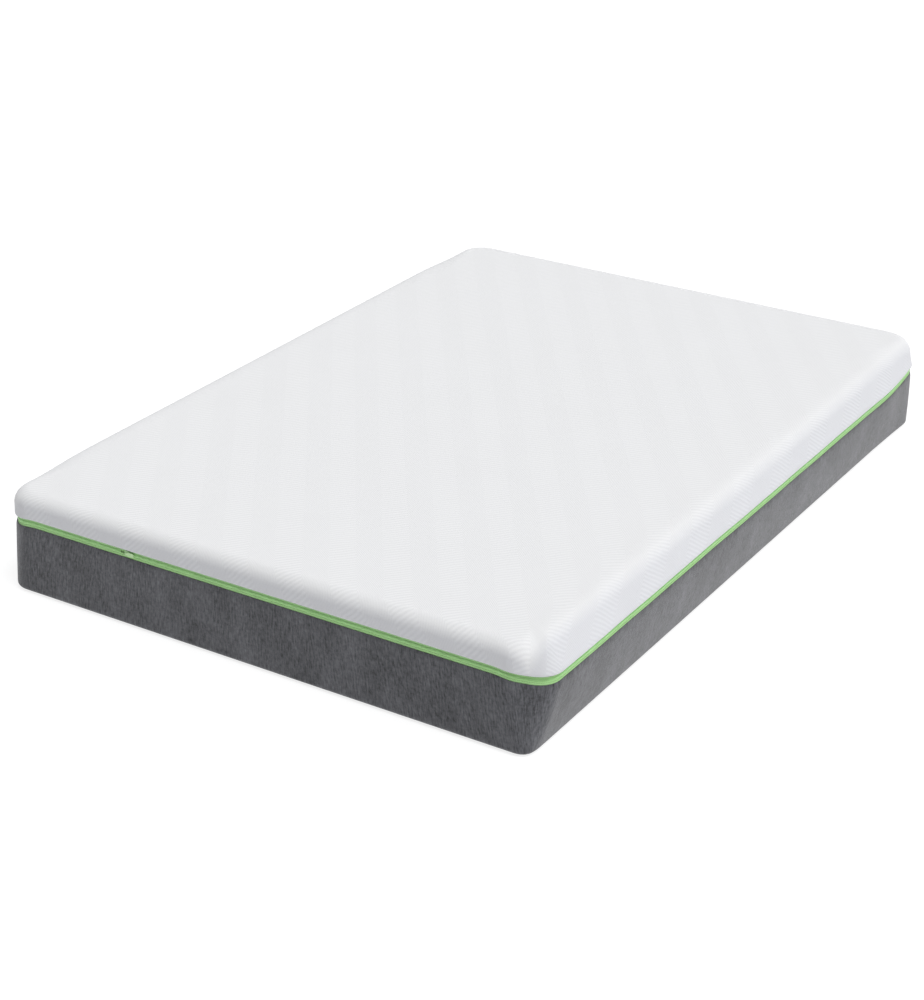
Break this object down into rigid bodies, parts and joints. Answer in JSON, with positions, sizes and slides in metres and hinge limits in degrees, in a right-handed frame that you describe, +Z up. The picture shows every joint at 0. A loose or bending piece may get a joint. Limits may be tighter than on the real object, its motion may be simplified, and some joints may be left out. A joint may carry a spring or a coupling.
{
  "type": "memory foam mattress",
  "caption": "Rectangular foam mattress with a white knit top and grey border joined by a zip all round, so the cover lifts off a layered foam core.",
  "frame": {"origin": "centre of the underside, on the surface that the mattress lies on", "axes": "+X across the width, +Y along the length, +Z up; the parked zip slider is on the -Y end, towards -X"},
  "size_m": [1.4, 2, 0.25],
  "materials": {
    "top_knit": "white jacquard knit",
    "wadding": "loose white fibre",
    "border_knit": "grey marl knit",
    "base_fabric": "dark grey non-slip fabric",
    "binding": "woven tape",
    "zip_tape": "green woven tape",
    "zip_coil": "green nylon coil",
    "zip_stop": "green lacquer",
    "zip_slider": "green lacquer",
    "zip_pull": "green lacquer",
    "sock_jersey": "thin white jersey",
    "memory_foam": "slow open-cell foam",
    "transition_foam": "open-cell foam",
    "support_foam": "firm open-cell foam"
  },
  "bodies": {
    "base_cover": {"base_panel": "base_fabric", "side_border": "border_knit", "base_seam_binding": "binding", "lower_zip_tape": "zip_tape", "lower_zip_coil": "zip_coil", "lower_zip_stops": "zip_stop"},
    "core": {"inner_sock": "sock_jersey", "support_foam_core": "support_foam", "transition_foam_layer": "transition_foam", "memory_foam_layer": "memory_foam"},
    "top_cover": {"top_cover": "top_knit", "cover_wadding": "wadding", "upper_zip_tape": "zip_tape", "upper_zip_coil": "zip_coil", "upper_zip_stops": "zip_stop"},
    "zip_slider": {"zip_slider_body": "zip_slider"},
    "zip_pull": {"zip_pull_tab": "zip_pull"}
  },
  "joints": [
    {"name": "core_lift_out", "type": "slide", "parent": "base_cover", "child": "core", "axis": [0, 0, 1], "range_m": [0, 0.2]},
    {"name": "top_cover_lift", "type": "slide", "parent": "core", "child": "top_cover", "axis": [0, 0, 1], "range_m": [0, 0.1]},
    {"name": "zip_slider_run", "type": "slide", "parent": "base_cover", "child": "zip_slider", "axis": [1, 0, 0], "range_m": [0, 0.93]},
    {"name": "zip_pull_swing", "type": "hinge", "parent": "zip_slider", "child": "zip_pull", "pos_m": [-0.336, -0.9989, 0.185], "axis": [0, 0, -1], "range_deg": [0, 175]}
  ]
}
